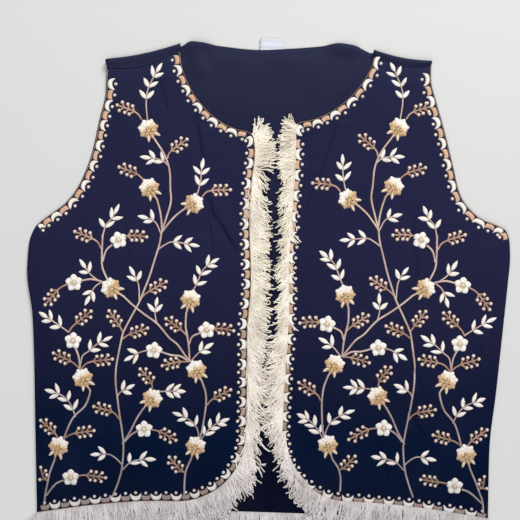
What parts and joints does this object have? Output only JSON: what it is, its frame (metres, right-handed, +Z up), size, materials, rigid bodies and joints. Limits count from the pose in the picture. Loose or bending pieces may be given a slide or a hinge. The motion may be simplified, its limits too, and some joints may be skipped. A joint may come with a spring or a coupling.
{
  "type": "embroidered folk vest",
  "caption": "Sleeveless open-fronted vest laid flat, navy cloth with embroidered floral vines, scalloped borders and a cotton fringe down the opening and round the hem.",
  "frame": {"origin": "middle of the whole outline, on the surface the vest lies on", "axes": "+Z up from the surface, +Y from the hem to the neck along the vest's own axis, +X to the right as the vest is looked at"},
  "size_m": [0.4835, 0.5144, 0.0056],
  "materials": {
    "navy_cloth": "matt woven crepe",
    "embroidery_thread": "satin-stitched rayon thread, soft sheen",
    "fringe_yarn": "matt loosely twisted cotton",
    "label_tape": "woven satin tape"
  },
  "bodies": {
    "root": {"back": "navy_cloth", "front_left": "navy_cloth", "front_right": "navy_cloth", "border_front_left": "embroidery_thread", "border_front_right": "embroidery_thread", "border_armhole_left": "embroidery_thread", "border_armhole_right": "embroidery_thread", "fringe_opening_left": "fringe_yarn", "fringe_opening_right": "fringe_yarn", "fringe_hem_left": "fringe_yarn", "fringe_hem_right": "fringe_yarn", "fringe_hem_back": "fringe_yarn", "label": "label_tape"}
  },
  "joints": []
}
